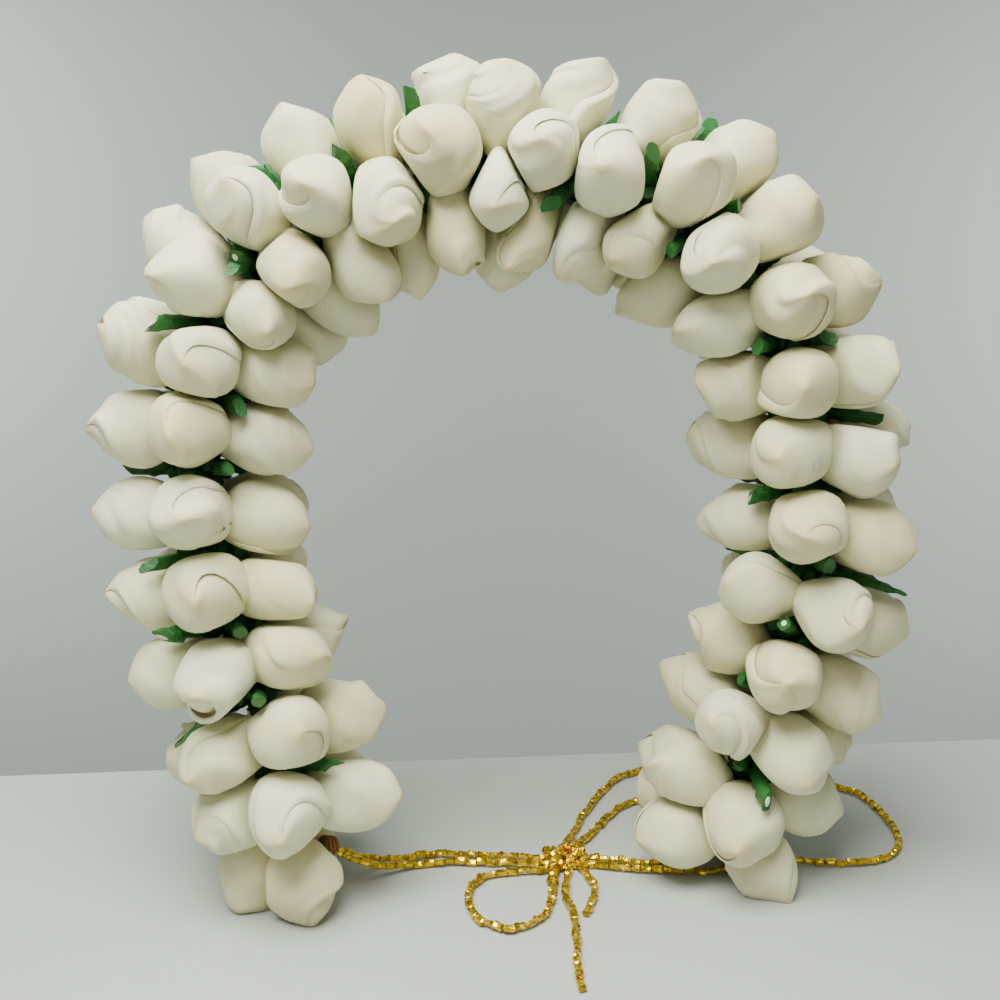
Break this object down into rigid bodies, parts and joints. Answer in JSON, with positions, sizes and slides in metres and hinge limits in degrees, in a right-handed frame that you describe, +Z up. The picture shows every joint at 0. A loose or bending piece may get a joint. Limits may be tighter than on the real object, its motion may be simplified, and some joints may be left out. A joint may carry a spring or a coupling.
{
  "type": "jasmine garland",
  "caption": "Horseshoe garland of rolled white jasmine buds bound round a bent wire, standing on its ends, with a gold cord bow.",
  "frame": {"origin": "bottom centre of the garland without its cord, on the surface that it stands on", "axes": "+Z up the arch, +X towards the foot with the cord's round loop, -Y towards the front, through the arch's opening"},
  "size_m": [0.1183, 0.066, 0.1147],
  "materials": {
    "petal_white": "soft matt white to cream, rolled sheet with fine creases",
    "stem_green": "dark green tape with a waxy sheen",
    "bound_wire": "wire wrapped in dark green tape",
    "binding_thread": "thin brown thread wound side by side",
    "cord_gold": "gold tinsel cord with short bright segments and darker rings"
  },
  "bodies": {
    "root": {"bow_knot": "cord_gold", "bow_loop_left": "cord_gold", "bow_loop_right": "cord_gold", "bow_tail_long": "cord_gold", "bow_tail_short": "cord_gold", "bud_whorl_00": "petal_white", "bud_whorl_01": "petal_white", "bud_whorl_02": "petal_white", "bud_whorl_03": "petal_white", "bud_whorl_04": "petal_white", "bud_whorl_05": "petal_white", "bud_whorl_06": "petal_white", "bud_whorl_07": "petal_white", "bud_whorl_08": "petal_white", "bud_whorl_09": "petal_white", "bud_whorl_10": "petal_white", "bud_whorl_11": "petal_white", "bud_whorl_12": "petal_white", "bud_whorl_13": "petal_white", "bud_whorl_14": "petal_white", "bud_whorl_15": "petal_white", "bud_whorl_16": "petal_white", "bud_whorl_17": "petal_white", "bud_whorl_18": "petal_white", "bud_whorl_19": "petal_white", "bud_whorl_20": "petal_white", "bud_whorl_21": "petal_white", "bud_whorl_22": "petal_white", "bud_whorl_23": "petal_white", "bud_whorl_24": "petal_white", "bud_whorl_25": "petal_white", "bud_whorl_26": "petal_white", "cord_left_back": "cord_gold", "cord_left_front": "cord_gold", "cord_right_near": "cord_gold", "cord_right_round": "cord_gold", "core_wire": "bound_wire", "stem_bunch_01": "stem_green", "stem_bunch_02": "stem_green", "stem_bunch_03": "stem_green", "stem_bunch_04": "stem_green", "stem_bunch_05": "stem_green", "stem_bunch_06": "stem_green", "stem_bunch_07": "stem_green", "stem_bunch_08": "stem_green", "stem_bunch_09": "stem_green", "stem_bunch_10": "stem_green", "stem_bunch_11": "stem_green", "stem_bunch_12": "stem_green", "wire_binding_left": "binding_thread", "wire_binding_right": "binding_thread"}
  },
  "joints": []
}
